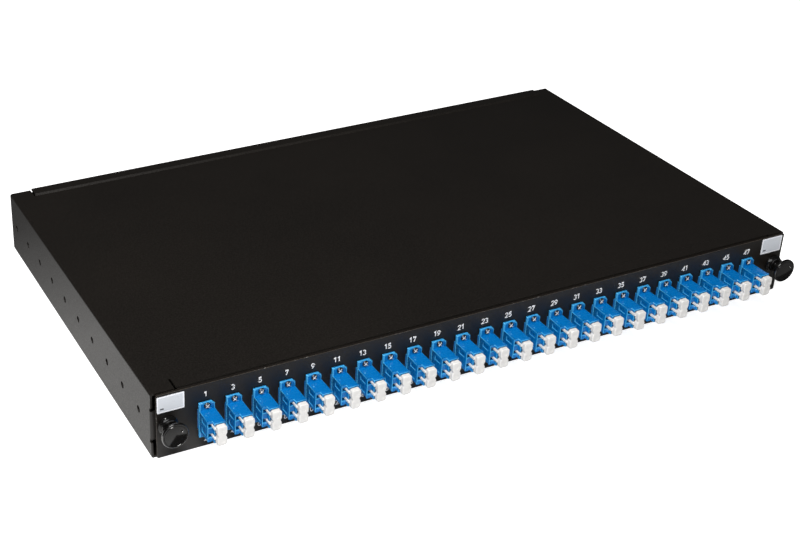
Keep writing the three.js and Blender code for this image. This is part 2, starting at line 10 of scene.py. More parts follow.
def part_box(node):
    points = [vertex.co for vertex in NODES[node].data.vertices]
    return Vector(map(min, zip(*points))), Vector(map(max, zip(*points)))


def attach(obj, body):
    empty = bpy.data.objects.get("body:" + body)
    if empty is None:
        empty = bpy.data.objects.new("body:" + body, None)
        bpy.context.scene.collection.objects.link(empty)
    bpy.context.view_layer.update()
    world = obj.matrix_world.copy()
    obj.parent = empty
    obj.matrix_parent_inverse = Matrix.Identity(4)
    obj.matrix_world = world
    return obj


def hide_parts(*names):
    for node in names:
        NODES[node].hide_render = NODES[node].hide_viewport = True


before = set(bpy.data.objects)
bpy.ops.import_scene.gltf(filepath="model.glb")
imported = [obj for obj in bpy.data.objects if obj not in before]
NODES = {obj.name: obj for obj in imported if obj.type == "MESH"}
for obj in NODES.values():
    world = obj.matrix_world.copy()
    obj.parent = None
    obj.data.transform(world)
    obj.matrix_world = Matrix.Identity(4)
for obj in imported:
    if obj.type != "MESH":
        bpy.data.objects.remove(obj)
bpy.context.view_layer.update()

MM = 0.001
PORTS = [f"{i:02d}" for i in range(1, 25)]


# ---------------------------------------------------------------- shading


class Shader:
    """A material with one Principled shader, and short ways to add nodes to it."""

    def __init__(self, name, **values):
        self.material = bpy.data.materials.new(name)
        self.material.use_nodes = True
        self.tree = self.material.node_tree
        self.tree.nodes.clear()
        self.bsdf = self.add("ShaderNodeBsdfPrincipled")
        out = self.add("ShaderNodeOutputMaterial")
        self.tree.links.new(self.bsdf.outputs["BSDF"], out.inputs["Surface"])
        self.coords = self.add("ShaderNodeTexCoord").outputs["Object"]
        for key, value in values.items():
            self.set(key.replace("_", " "), value)

    def add(self, kind, **inputs):
        node = self.tree.nodes.new(kind)
        for key, value in inputs.items():
            self.feed(node.inputs[key], value)
        return node

    def feed(self, socket, value):
        if isinstance(value, bpy.types.NodeSocket):
            self.tree.links.new(value, socket)
        elif isinstance(value, tuple) and len(value) == 3 and socket.type == "RGBA":
            socket.default_value = (*value, 1.0)
        else:
            socket.default_value = value

    def set(self, name, value):
        self.feed(self.bsdf.inputs[name], value)

    def noise(self, scale, detail=2.0, roughness=0.5, stretch=None):
        node = self.add("ShaderNodeTexNoise", Scale=scale, Detail=detail, Roughness=roughness)
        self.feed(node.inputs["Vector"], self.stretched(stretch) if stretch else self.coords)
        return node.outputs["Fac"]

    def stretched(self, factors):
        node = self.add("ShaderNodeMapping", Vector=self.coords)
        node.inputs["Scale"].default_value = factors
        return node.outputs["Vector"]

    def cells(self, scale):
        node = self.add("ShaderNodeTexVoronoi", Scale=scale, Vector=self.coords)
        return node.outputs["Distance"]

    def math(self, operation, a, b=0.0, clamp=False):
        node = self.add("ShaderNodeMath")
        node.operation = operation
        node.use_clamp = clamp
        self.feed(node.inputs[0], a)
        self.feed(node.inputs[1], b)
        return node.outputs["Value"]

    def spread(self, value, low, high, to_low=0.0, to_high=1.0):
        """value, with low..high mapped to to_low..to_high and held at those ends."""
        node = self.add("ShaderNodeMapRange", Value=value)
        for key, number in zip(
            ("From Min", "From Max", "To Min", "To Max"), (low, high, to_low, to_high)
        ):
            node.inputs[key].default_value = number
        return node.outputs["Result"]

    def mix(self, factor, a, b):
        node = self.add("ShaderNodeMix")
        node.data_type = "RGBA"
        self.feed(node.inputs[0], factor)
        self.feed(node.inputs[6], a)
        self.feed(node.inputs[7], b)
        return node.outputs[2]

    def bump(self, height, distance, strength=1.0):
        node = self.add(
            "ShaderNodeBump", Height=height, Distance=distance, Strength=strength
        )
        self.set("Normal", node.outputs["Normal"])

    def own(self):
        """A number that differs between objects."""
        return self.add("ShaderNodeObjectInfo").outputs["Random"]


def tinted(colour, share):
    return tuple(c * share for c in colour)


COAT = (0.0078, 0.0061, 0.0047)
BARE = (0.36, 0.34, 0.32)


def powder_coat():
    s = Shader("powder_coat", IOR=1.5)
    grain = s.noise(1100, 3, 0.6)
    pebble = s.cells(1500)
    cloud = s.noise(14, 3)
    shade = s.math("ADD", s.spread(grain, 0.35, 0.65, -0.5, 0.5), s.spread(cloud, 0.3, 0.7, -0.4, 0.4))
    s.set("Base Color", s.mix(s.spread(shade, -0.9, 0.9), tinted(COAT, 0.72), tinted(COAT, 1.3)))
    s.set("Roughness", s.spread(grain, 0.3, 0.7, 0.34, 0.50))
    height = s.math("ADD", s.math("MULTIPLY", pebble, 0.5), grain)
    s.bump(height, 0.05 * MM, 0.55)
    return s.material


def coat_edge_highlight_and_chips():
    """The coat over a sheet's edge: paler, which is a painted highlight, with chips of wear down to the
    metal.
    """
    s = Shader("powder_coat_painted_highlight_and_chips", IOR=1.5)
    grain = s.noise(1100, 3, 0.6)
    chips = s.math(
        "MULTIPLY",
        s.spread(s.noise(560, 4, 0.7), 0.56, 0.64),
        s.spread(s.noise(45, 2), 0.46, 0.58),
        clamp=True,
    )
    # The paler coat on the edge is a painted highlight.
    coat = s.mix(grain, tinted(COAT, 3.0), tinted(COAT, 13.0))
    s.set("Base Color", s.mix(chips, coat, BARE))
    s.set("Roughness", s.spread(chips, 0, 1, 0.38, 0.5))
    s.bump(s.math("SUBTRACT", grain, chips), 0.04 * MM, 0.5)
    return s.material


BLUE = (0.0004, 0.140, 0.430)
# A paler blue for the adapter's rounded edges and its pips: a painted highlight.
PAINTED_HIGHLIGHT_BLUE = (0.075, 0.43, 0.76)


def moulded(name, colour, spread_share, roughness, scale=1800, depth=0.012 * MM, **values):
    """Moulded plastic: faint flow lines, a fine spark-eroded grain and slight handling marks."""
    s = Shader(name, **values)
    grain = s.noise(scale, 3, 0.6)
    flow = s.noise(160, 3, 0.5, (1.0, 0.25, 1.0))
    marks = s.noise(420, 5, 0.75)
    blend = s.math("ADD", s.math("MULTIPLY", flow, 0.7), s.math("MULTIPLY", s.own(), 0.3))
    low, high = tinted(colour, 1 - spread_share), tinted(colour, 1 + spread_share)
    s.set("Base Color", s.mix(s.spread(blend, 0.25, 0.75), low, high))
    s.set("Roughness", s.spread(marks, 0.35, 0.7, roughness - 0.05, roughness + 0.09))
    s.bump(s.math("ADD", grain, flow), depth, 0.6)
    return s


def dust_cap_white():
    s = moulded(
        "cap_white",
        (0.74, 0.73, 0.72),
        0.02,
        0.40,
        scale=1500,
        depth=0.02 * MM,
        Subsurface_Weight=0.12,
        Subsurface_Scale=1.2 * MM,
        IOR=1.5,
    )
    s.bsdf.inputs["Subsurface Radius"].default_value = (1.0, 0.95, 0.9)
    return s.material


def glossy_black(name, colour, roughness, ior=1.52):
    s = Shader(name, IOR=ior)
    wave = s.noise(130, 2)
    hairlines = s.noise(900, 6, 0.8, (0.15, 1.0, 2.2))
    s.set("Base Color", s.mix(wave, tinted(colour, 0.8), tinted(colour, 1.25)))
    s.set("Roughness", s.spread(hairlines, 0.5, 0.75, roughness, roughness + 0.16))
    s.bump(s.math("ADD", wave, s.math("MULTIPLY", hairlines, 0.05)), 0.03 * MM, 0.35)
    return s.material


def screw_steel(name, dark, light, roughness, metallic=1.0):
    s = Shader(name, Metallic=metallic)
    turned = s.noise(2600, 3, 0.6, (1.0, 3.0, 1.0))
    s.set("Base Color", s.mix(turned, dark, light))
    s.set("Roughness", s.spread(turned, 0.3, 0.7, roughness, roughness + 0.18))
    s.bump(turned, 0.01 * MM, 0.5)
    return s.material


def paper(name, colour):
    s = Shader(name, Roughness=0.55)
    fibres = s.noise(2400, 5, 0.7, (1.0, 1.0, 2.5))
    cloud = s.noise(90, 2)
    tone = s.math("ADD", s.math("MULTIPLY", fibres, 0.5), s.math("MULTIPLY", cloud, 0.5))
    s.set("Base Color", s.mix(s.spread(tone, 0.3, 0.7), tinted(colour, 0.96), colour))
    s.bump(fibres, 0.012 * MM, 0.5)
    return s.material


def printed(name, colour):
    s = Shader(name, Roughness=0.5)
    film = s.noise(1900, 4, 0.7)
    s.set("Base Color", s.mix(s.spread(film, 0.35, 0.6), tinted(colour, 0.8), colour))
    s.bump(film, 0.02 * MM, 0.5)
    return s.material


def clear_cover():
    s = Shader("cover_clear", IOR=1.58)
    haze = s.noise(40, 2, 0.5)
    scuffs = s.noise(900, 6, 0.8, (0.1, 1.0, 1.0))
    s.set("Base Color", s.mix(haze, (0.66, 0.71, 0.74), (0.72, 0.76, 0.79)))
    s.set("Roughness", s.spread(scuffs, 0.5, 0.8, 0.08, 0.18))
    s.set("Alpha", s.spread(haze, 0.3, 0.7, 0.17, 0.20))
    s.bump(haze, 0.02 * MM, 0.2)
    return s.material


FIBRE_COLOURS = {
    "blue": (0.01, 0.10, 0.45),
    "orange": (0.75, 0.16, 0.01),
    "green": (0.01, 0.25, 0.05),
    "brown": (0.12, 0.045, 0.015),
    "slate": (0.18, 0.19, 0.20),
    "white": (0.72, 0.72, 0.70),
}

MATERIALS = {
    "coat": powder_coat(),
    "coat_edge_highlight_and_chips": coat_edge_highlight_and_chips(),
    "blue": moulded("adapter_blue", BLUE, 0.03, 0.27, IOR=1.45).material,
    "blue_painted_highlight": moulded("adapter_blue_painted_highlight", PAINTED_HIGHLIGHT_BLUE, 0.08, 0.22, IOR=1.5).material,
    "cap": dust_cap_white(),
    "knob": glossy_black("latch_black", (0.0045, 0.0043, 0.0042), 0.07),
    # A brighter, more reflective copy of the knob's black: a painted highlight on the lower rim and the
    # gate mark.
    "rim": glossy_black("latch_painted_highlight", (0.012, 0.0115, 0.011), 0.16, 2.6),
    # The screw head is painted dark as shade, and its cross recess bright as a highlight.
    "screw": screw_steel("screw_head_painted_shade", (0.05, 0.048, 0.046), (0.16, 0.155, 0.15), 0.24),
    "recess": screw_steel("screw_recess_painted_highlight", (0.80, 0.79, 0.77), (0.95, 0.94, 0.92), 0.45, 0.35),
    "cassette": moulded("cassette_grey", (0.235, 0.25, 0.27), 0.08, 0.5).material,
    # A paler copy of the cassette's grey for its rounded edges: a painted highlight.
    "cassette_painted_highlight": moulded("cassette_grey_painted_highlight", (0.30, 0.32, 0.34), 0.08, 0.4).material,
    "cover": clear_cover(),
    "gland": moulded("gland_grey", (0.020, 0.021, 0.022), 0.15, 0.42, depth=0.03 * MM).material,
    # A paler copy of the gland's grey for its rounded edges: a painted highlight.
    "gland_painted_highlight": moulded("gland_grey_painted_highlight", (0.035, 0.036, 0.038), 0.1, 0.35).material,
    "rubber": moulded("seal_rubber", (0.012, 0.012, 0.012), 0.2, 0.7, depth=0.03 * MM).material,
    "label": paper("label_border", (0.90, 0.92, 0.97)),
    "label_field": paper("label_field", (0.66, 0.69, 0.74)),
    "mark": printed("label_mark", (0.09, 0.095, 0.11)),
    "ink": printed("number_ink", (0.97, 0.97, 0.97)),
}
for fibre, colour in FIBRE_COLOURS.items():
    MATERIALS["fibre_" + fibre] = moulded("fibre_" + fibre, colour, 0.06, 0.35).material


# ---------------------------------------------------------------- meshes


def mesh_of(name, bm, materials=()):
    """A mesh in metres from a bmesh in millimetres."""
    bmesh.ops.scale(bm, vec=(MM, MM, MM), verts=bm.verts)
    bmesh.ops.recalc_face_normals(bm, faces=bm.faces)
    mesh = bpy.data.meshes.new(name)
    bm.to_mesh(mesh)
    bm.free()
    for key in materials:
        mesh.materials.append(MATERIALS[key])
    return mesh


def object_of(name, mesh, place=(0, 0, 0)):
    made = bpy.data.objects.new(name, mesh)
    made.location = place
    bpy.context.scene.collection.objects.link(made)
    return made


def prism(outline, y0, y1):
    """A solid from an (x, z) outline, with thickness along Y."""
    bm = bmesh.new()
    front = [bm.verts.new((x, y0, z)) for x, z in outline]
    back = [bm.verts.new((x, y1, z)) for x, z in outline]
    bm.faces.new(front)
    bm.faces.new(back[::-1])
    for i in range(len(outline)):
        j = (i + 1) % len(outline)
        bm.faces.new((front[i], back[i], back[j], front[j]))
    return bm


def block(x0, x1, y0, y1, z0, z1):
    return prism([(x0, z0), (x1, z0), (x1, z1), (x0, z1)], y0, y1)


def rounded(x0, x1, z0, z1, corner, steps=4):
    """A rounded rectangle as (x, z) points."""
    right, left, top, bottom = x1 - corner, x0 + corner, z1 - corner, z0 + corner
    points = []
    for quarter, (x, z) in enumerate(((right, top), (left, top), (left, bottom), (right, bottom))):
        angles = [math.pi / 2 * (quarter + i / steps) for i in range(steps + 1)]
        points += [(x + corner * math.cos(a), z + corner * math.sin(a)) for a in angles]
    return points


def turned(profile, sides):
    """A closed body turned about the Y axis from (radius, y) points. The outline starts and ends
    on the axis, or closes on itself."""
    bm = bmesh.new()
    rings = []
    for radius, y in profile:
        count = sides if radius > 0 else 1
        angles = [2 * math.pi * i / sides for i in range(count)]
        rings.append([bm.verts.new((radius * math.cos(a), y, radius * math.sin(a))) for a in angles])
    pairs = list(zip(rings, rings[1:]))
    if profile[0][0] > 0:
        pairs.append((rings[-1], rings[0]))
    for a, b in pairs:
        for i in range(sides):
            j = (i + 1) % sides
            corners = [a[i % len(a)], a[j % len(a)], b[j % len(b)], b[i % len(b)]]
            bm.faces.new(list(dict.fromkeys(corners)))
    return bm


def disc(radius, x, z, y0, y1, sides=24):
    angles = [2 * math.pi * i / sides for i in range(sides)]
    return prism([(x + radius * math.cos(a), z + radius * math.sin(a)) for a in angles], y0, y1)


def turn(bm, degrees, axis):
    """Turns a whole bmesh about an axis through its origin."""
    matrix = Matrix.Rotation(math.radians(degrees), 3, axis)
    bmesh.ops.rotate(bm, cent=(0, 0, 0), matrix=matrix, verts=bm.verts)


def quarter_turn(steps):
    """The angles of a quarter circle, in radians."""
    return [math.pi / 2 * i / steps for i in range(steps + 1)]


def settle(obj):
    """Replaces an object's mesh with what its modifiers make of it."""
    bpy.context.view_layer.update()
    graph = bpy.context.evaluated_depsgraph_get()
    mesh = bpy.data.meshes.new_from_object(obj.evaluated_get(graph), depsgraph=graph)
    obj.modifiers.clear()
    obj.data = mesh
    return obj


def combine(obj, solids, operation):
    """Cuts solids (bmeshes) from an object, or joins them to it."""
    tools = [object_of("tool", mesh_of("tool", bm)) for bm in solids]
    for tool in tools:
        mod = obj.modifiers.new("combine", "BOOLEAN")
        mod.operation = operation
        mod.solver = "EXACT"
        mod.object = tool
    settle(obj)
    for tool in tools:
        bpy.data.objects.remove(tool)
    return obj


def shade(obj, angle=35):
    mesh = obj.data
    mesh.polygons.foreach_set("use_smooth", [True] * len(mesh.polygons))
    mesh.set_sharp_from_angle(angle=math.radians(angle))
    return obj


def mark_convex(obj, angle):
    """Gives a bevel weight to an object's sharp edges, apart from those in its inner corners."""
    bm = bmesh.new()
    bm.from_mesh(obj.data)
    weights = bm.edges.layers.float.new("bevel_weight_edge")
    for edge in bm.edges:
        sharp = edge.is_manifold and edge.calc_face_angle_signed(0) > math.radians(angle)
        edge[weights] = 1.0 if sharp else 0.0
    bm.to_mesh(obj.data)
    bm.free()


def soften(obj, width, segments=2, edge_slot=-1, angle=35, convex_only=False):
    """Rounds an object's sharp edges by a width in millimetres, and keeps its flat faces flat."""
    mod = obj.modifiers.new("soften", "BEVEL")
    mod.width = width * MM
    mod.segments = segments
    mod.limit_method = "ANGLE"
    if convex_only:
        mark_convex(obj, angle)
        mod.limit_method = "WEIGHT"
    mod.angle_limit = math.radians(angle)
    mod.material = edge_slot
    mod.miter_outer = "MITER_ARC"
    settle(obj)
    shade(obj, 50)
    flat = obj.modifiers.new("flat", "WEIGHTED_NORMAL")
    flat.keep_sharp = True
    return settle(obj)


def detached(node, origin, keys):
    """An object with a cleaned copy of a CAD node's mesh, laid out about its own origin."""
    bm = bmesh.new()
    bm.from_mesh(NODES[node].data)
    bmesh.ops.remove_doubles(bm, verts=bm.verts, dist=0.001 * MM)
    bmesh.ops.translate(bm, vec=-Vector(origin), verts=bm.verts)
    bmesh.ops.dissolve_limit(bm, angle_limit=math.radians(0.5), verts=bm.verts, edges=bm.edges)
    mesh = bpy.data.meshes.new(node + "_copy")
    bm.to_mesh(mesh)
    bm.free()
    for face in mesh.polygons:
        face.material_index = 0
    mesh.materials.clear()
    for key in keys:
        mesh.materials.append(MATERIALS[key])
    return object_of(node + "_copy", mesh)


def spread_out(model, names, places, bodies, replaced=None):
    """Shares one finished mesh between several pieces, each riding on its body."""
    for i, (name, place, body) in enumerate(zip(names, places, bodies)):
        piece = object_of(name, model.data, place)
        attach(piece, body)
        if replaced:
            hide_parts(replaced[i])
    bpy.data.objects.remove(model)


# ---------------------------------------------------------------- carried-over CAD nodes


def cleaning_group():
    """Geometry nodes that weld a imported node's split vertices and drop its stored normals."""
    group = bpy.data.node_groups.new("clean_up", "GeometryNodeTree")
    group.interface.new_socket("Geometry", in_out="INPUT", socket_type="NodeSocketGeometry")
    group.interface.new_socket("Geometry", in_out="OUTPUT", socket_type="NodeSocketGeometry")
    start, end = group.nodes.new("NodeGroupInput"), group.nodes.new("NodeGroupOutput")
    weld = group.nodes.new("GeometryNodeMergeByDistance")
    weld.inputs["Distance"].default_value = 0.001 * MM
    drop = group.nodes.new("GeometryNodeRemoveAttribute")
    drop.inputs["Name"].default_value = "custom_normal"
    group.links.new(start.outputs[0], weld.inputs["Geometry"])
    group.links.new(weld.outputs["Geometry"], drop.inputs["Geometry"])
    group.links.new(drop.outputs["Geometry"], end.inputs[0])
    return group


def smoothing_group():
    """Geometry nodes that shade smoothly, apart from the edges sharper than a bend's facets."""
    group = bpy.data.node_groups.new("smooth_bends", "GeometryNodeTree")
    group.interface.new_socket("Geometry", in_out="INPUT", socket_type="NodeSocketGeometry")
    group.interface.new_socket("Geometry", in_out="OUTPUT", socket_type="NodeSocketGeometry")
    start, end = group.nodes.new("NodeGroupInput"), group.nodes.new("NodeGroupOutput")
    faces = group.nodes.new("GeometryNodeSetShadeSmooth")
    edges = group.nodes.new("GeometryNodeSetShadeSmooth")
    edges.domain = "EDGE"
    angle = group.nodes.new("GeometryNodeInputMeshEdgeAngle")
    sharp = group.nodes.new("FunctionNodeCompare")
    sharp.operation = "GREATER_THAN"
    sharp.inputs["B"].default_value = math.radians(28)
    group.links.new(start.outputs[0], faces.inputs["Geometry"])
    group.links.new(faces.outputs["Geometry"], edges.inputs["Geometry"])
    group.links.new(angle.outputs["Unsigned Angle"], sharp.inputs["A"])
    group.links.new(sharp.outputs["Result"], edges.inputs["Selection"])
    edges.inputs["Shade Smooth"].default_value = False
    group.links.new(edges.outputs["Geometry"], end.inputs[0])
    return group


CLEAN_UP, SMOOTH_BENDS = cleaning_group(), smoothing_group()


def dress(node, face, edge, width):
    """Gives a carried-over CAD node its materials, and rounds its edges by a width in millimetres."""
    obj = NODES[node]
    obj.data.materials.clear()
    obj.data.materials.append(MATERIALS[face])
    obj.data.materials.append(MATERIALS[edge])
    obj.modifiers.new("clean", "NODES").node_group = CLEAN_UP
    planar = obj.modifiers.new("planar", "DECIMATE")
    planar.decimate_type = "DISSOLVE"
    planar.angle_limit = math.radians(0.5)
    bevel = obj.modifiers.new("edges", "BEVEL")
    bevel.width = width * MM
    bevel.segments = 2
    bevel.limit_method = "ANGLE"
    bevel.angle_limit = math.radians(40)
    bevel.material = 1
    obj.modifiers.new("smooth", "NODES").node_group = SMOOTH_BENDS
    obj.modifiers.new("flat", "WEIGHTED_NORMAL").keep_sharp = True


# The second material goes on the rounded edges. Where it is paler it is a painted highlight, and on the
# coat it also has chips of wear.
for name in ("outer_sleeve", "rear_panel", "drawer_tray", "front_panel"):
    dress(name, "coat", "coat_edge_highlight_and_chips", 0.3)
dress("splice_cassette", "cassette", "cassette_painted_highlight", 0.2)
dress("splice_cover", "cover", "cover", 0.25)
dress("gland_body", "gland", "gland_painted_highlight", 0.2)
dress("gland_nut", "gland", "gland_painted_highlight", 0.25)

SLEEVE_FRONT_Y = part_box("outer_sleeve")[0].y
FACE_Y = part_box("front_panel")[0].y


def middle(node):
    low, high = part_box(node)
    return (low + high) / 2


ROW_Z = middle("adapter_01").z
PORT_X = {n: middle("adapter_" + n).x for n in PORTS}


# ---------------------------------------------------------------- adapters


def port_places(y):
    return [(PORT_X[n], y, ROW_Z) for n in PORTS]


# The adapter in millimetres, from its middle and from the panel's face
BODY_HALF = 4.65
BODY_TOP = 6.4
SHOULDER_Y = -13.0
MOUTH_Y = -15.8
EAR_FRONT = -2.2
SCREW_Z = 9.0
SOCKET_X = 1.3
SOCKETS_Z = (-3.125, 3.125)
WINDOW_Y = (-10.6, -5.4)
WINDOW_Z = (-3.1, 3.1)
WINDOW_HALF = 1.2
WINDOW_DEPTH = 0.3


def side_windows(side):
    """Cutters for the shallow windows in one side of the adapter."""
    inside, outside = side * (BODY_HALF - WINDOW_DEPTH), side * (BODY_HALF + 1)
    return [block(inside, outside, *WINDOW_Y, z - WINDOW_HALF, z + WINDOW_HALF) for z in WINDOW_Z]


def adapter_model():
    model = detached("adapter_01", (PORT_X["01"], FACE_Y, ROW_Z), ("blue", "blue_painted_highlight"))
    combine(model, side_windows(-1) + side_windows(1), "DIFFERENCE")
    # Its rounded convex edges take the second slot, the pale blue of a painted highlight.
    soften(model, 0.22, 2, 1, convex_only=True)
    counterbores = [disc(2.05, 0, z, EAR_FRONT - 1, EAR_FRONT + 0.5) for z in (-SCREW_Z, SCREW_Z)]
    combine(model, counterbores, "DIFFERENCE")
    combine(model, [post for side in (-1, 1) for post in mouth_posts(side)], "UNION")
    return shade(model, 40)


def mouth_posts(side):
    """Low ridges on the adapter's upper or lower face: one on the shoulder, one at the mouth."""
    foot, top = side * (BODY_TOP - 0.5), side * (BODY_TOP + 0.35)
    return [
        block(-BODY_HALF + 0.05, -BODY_HALF + 2.3, SHOULDER_Y + 0.05, SHOULDER_Y + 1.1, foot, top),
        block(BODY_HALF - 1.3, BODY_HALF - 0.05, MOUTH_Y + 0.05, MOUTH_Y + 1.1, foot, top),
    ]


spread_out(
    adapter_model(),
    ["duplex_adapter_" + n for n in PORTS],
    port_places(FACE_Y),
    ["drawer"] * len(PORTS),
    ["adapter_" + n for n in PORTS],
)


def pip_model():
    """The small round moulding pip on an adapter's upper face, in the pale blue of the painted highlight.
    """
    bm = turned([(0, -0.16), (0.2, -0.14), (0.36, 0.0), (0.36, 0.3), (0, 0.3)], 20)
    turn(bm, -90, "X")
    return shade(object_of("pip", mesh_of("pip", bm, ["blue_painted_highlight"])))


PIP_X, PIP_Y = -2.8, -6.9
spread_out(
    pip_model(),
    ["adapter_pip_" + n for n in PORTS],
    [(PORT_X[n] + PIP_X * MM, FACE_Y + PIP_Y * MM, ROW_Z + BODY_TOP * MM) for n in PORTS],
    ["drawer"] * len(PORTS),
)


# ---------------------------------------------------------------- screws


def screw_model():
    """A pan head, painted dark as shade, with its cross recess painted bright as a highlight, facing -Y.
    """
    head = [(0, -0.95), (0.6, -0.92), (1.2, -0.78), (1.65, -0.5), (1.8, -0.2), (1.8, 0.3), (0, 0.3)]
    model = object_of("screw", mesh_of("screw", turned(head, 32), ["screw", "recess"]))
    arm, half_slot, slot_floor = 1.4, 0.3, -0.62
    cross = []
    for angle in (45, 135):
        bm = block(-arm, arm, -1.4, slot_floor, -half_slot, half_slot)
        turn(bm, angle, "Y")
        cross.append(bm)
    combine(model, cross, "DIFFERENCE")
    # The recess faces take the bright second slot: a painted highlight.
    for face in model.data.polygons:
        off_middle = math.hypot(face.center.x, face.center.z) / MM
        in_slot = abs(abs(face.normal.x) - abs(face.normal.z)) < 0.01 and abs(face.normal.y) < 0.01
        on_floor = face.normal.y < -0.99 and face.center.y / MM > slot_floor - 0.08
        if off_middle < arm + 0.05 and (in_slot or on_floor):
            face.material_index = 1
    return soften(model, 0.05, 1, angle=40)


spread_out(
    screw_model(),
    [f"adapter_screw_{n}_{row}" for row in ("upper", "lower") for n in PORTS],
    [
        (PORT_X[n], FACE_Y + (EAR_FRONT + 0.4) * MM, ROW_Z + side * SCREW_Z * MM)
        for side in (1, -1)
        for n in PORTS
    ],
    ["drawer"] * 2 * len(PORTS),
)


# ---------------------------------------------------------------- dust caps


def grip_outline(half_width=2.85, half_height=6.2, corner=1.3, waist=0.8, reach=1.5):
    """A rounded rectangle with a smooth pinch at its waist, as (x, z) points."""
    pinch = [(half_width - waist * math.cos(math.pi * z / 2 / reach) ** 2, z) for z in (0, 0.7, reach)]
    x, z = half_width - corner, half_height - corner
    upper = pinch + [(x + corner * math.cos(a), z + corner * math.sin(a)) for a in quarter_turn(6)]
    half = upper + [(-x, z) for x, z in reversed(upper)]
    return [(x + SOCKET_X, z) for x, z in half + [(-x, -z) for x, z in half[1:-1]]]


# The dust cap in millimetres, from the adapter's shoulder
GRIP_FRONT, GRIP_BACK = -6.5, -3.3
STEM_HALF, STEM_END = 1.2, 5.9
KEY_LEFT, KEY_HEIGHT, KEY_END = -2.3, 1.3, 3.9
DISH_RADIUS, DISH_DEPTH = 1.3, 0.14


def dust_cap_model():
    """A grip with a dish in front of each of its two stems, and a key beside each stem."""
    model = object_of("cap", mesh_of("cap", prism(grip_outline(), GRIP_FRONT, GRIP_BACK), ["cap"]))
    soften(model, 0.45, 3)
    root = GRIP_BACK - 0.6  # inside the grip
    left, right = SOCKET_X - STEM_HALF, SOCKET_X + STEM_HALF
    extras, dishes = [], []
    for z in SOCKETS_Z:
        extras.append(block(left, right, root, STEM_END, z - STEM_HALF, z + STEM_HALF))
        extras.append(block(KEY_LEFT, left + 0.4, root, KEY_END, z, z + KEY_HEIGHT))
        dishes.append(disc(DISH_RADIUS, SOCKET_X, z, GRIP_FRONT - 0.5, GRIP_FRONT + DISH_DEPTH, 28))
    combine(model, extras, "UNION")
    combine(model, dishes, "DIFFERENCE")
    return soften(model, 0.12, 2, angle=50)


ADAPTER_FRONT_Y = FACE_Y + SHOULDER_Y * MM
spread_out(
    dust_cap_model(),
    ["duplex_cap_" + n for n in PORTS],
    port_places(ADAPTER_FRONT_Y),
    ["cap_" + n for n in PORTS],
    ["dust_cap_" + n for n in PORTS],
)


# ---------------------------------------------------------------- push latches


def plunger_model(name, node):
    """The plunger: a shallow domed knob with a thin rim, a flared neck and a rod."""
    low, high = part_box(node)
    knob = (high.x - low.x) / 2 / MM
    face = 0.5  # from the CAD knob's foremost point back to its rim
    end = (high.y - low.y) / MM
    disc_edge = knob - 1.5
    dome = [(disc_edge * i / 8, face - 0.25 * (1 - (i / 8) ** 2)) for i in range(9)]
    groove = [(knob - 1.35, face + 0.2), (knob - 1.05, face + 0.2), (knob - 0.9, face - 0.02)]
    rim = [(knob - 0.6 + 0.6 * math.sin(a), face + 0.55 - 0.6 * math.cos(a)) for a in quarter_turn(5)]
    back = [(knob, face + 1.2), (knob - 0.3, face + 1.6), (knob - 1.0, face + 1.9), (5.0, face + 2.5)]
    neck = [(4.2, face + 3.3), (3.75, face + 4.4), (3.6, face + 6.4), (2.1, face + 6.5)]
    rod = [(2.1, end - 0.5), (1.6, end), (0, end)]
    profile = dome + groove + rim + back + neck + rod
    model = object_of(name, mesh_of(name, turned(profile, 96), ["knob", "rim"]))
    # The lower front of the rim takes the second slot: a painted highlight.
    for part in model.data.polygons:
        on_rim = math.hypot(part.center.x, part.center.z) > (knob - 0.5) * MM
        low_front = part.center.y < (face + 0.5) * MM and part.center.z < knob / 4 * MM
        part.material_index = 1 if on_rim and low_front else 0
    pip_x, pip_z, radius = 3.9, 2.0, 0.75  # the gate mark on the knob's face
    pip = [(radius * math.sin(a), -radius * math.cos(a)) for a in quarter_turn(6)]
    mark = turned(pip + [(radius, 1.0), (0, 1.0)], 24)
    bmesh.ops.translate(mark, vec=(pip_x, face - 0.4, pip_z), verts=mark.verts)
    combine(model, [mark], "UNION")
    # The gate mark's front also takes the painted highlight.
    for part in model.data.polygons:
        off = math.hypot(part.center.x - pip_x * MM, part.center.z - pip_z * MM)
        if off < radius * MM and part.center.y < (face - 0.25) * MM:
            part.material_index = 1
    shade(model, 38)
    model.location = (middle(node).x, low.y, middle(node).z)
    return model


for side in ("left", "right"):
    piece = plunger_model(f"latch_{side}_knob", f"latch_{side}_plunger")
    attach(piece, "latch_" + side)
    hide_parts(f"latch_{side}_plunger")


def collar_model(name, node):
    """The grommet: a ribbed collar on the panel's face, and a shank split into four prongs."""
    low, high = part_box(node)
    end = (high.y - low.y) / MM
    panel = (FACE_Y - low.y) / MM
    lip = [(2.5, 0.3), (2.8, 0), (4.3, 0), (4.75, 0.3), (4.9, 0.8), (4.9, 1.7), (4.7, 2.0), (5.1, 2.25)]
    flange = [(5.6, panel - 1.75), (5.9, panel - 1.4), (5.9, panel - 0.35), (5.75, panel - 0.2)]
    shank = [(3.7, panel - 0.2), (4.0, panel + 4.5), (3.3, end), (2.5, end)]
    model = object_of(name, mesh_of(name, turned(lip + flange + shank, 72), ["knob"]))
    slots = [block(-0.5, 0.5, panel + 1, end + 1, -7, 7), block(-7, 7, panel + 1, end + 1, -0.5, 0.5)]
    combine(model, slots, "DIFFERENCE")
    shade(model, 38)
    model.location = (middle(node).x, low.y, middle(node).z)
    return model


for side in ("left", "right"):
    piece = collar_model(f"latch_{side}_collar", f"latch_{side}_grommet")
    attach(piece, "drawer")
    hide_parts(f"latch_{side}_grommet")


# ---------------------------------------------------------------- plugs and fibres behind the panel


# A plug and its boot in millimetres, back from the panel's face
PLUG_START, PLUG_HALF = 5.5, 2.2
BOOT_START, BOOT_END = 17.0, 29.0
BOOT_RADIUS, BOOT_RIBS = 1.9, 6


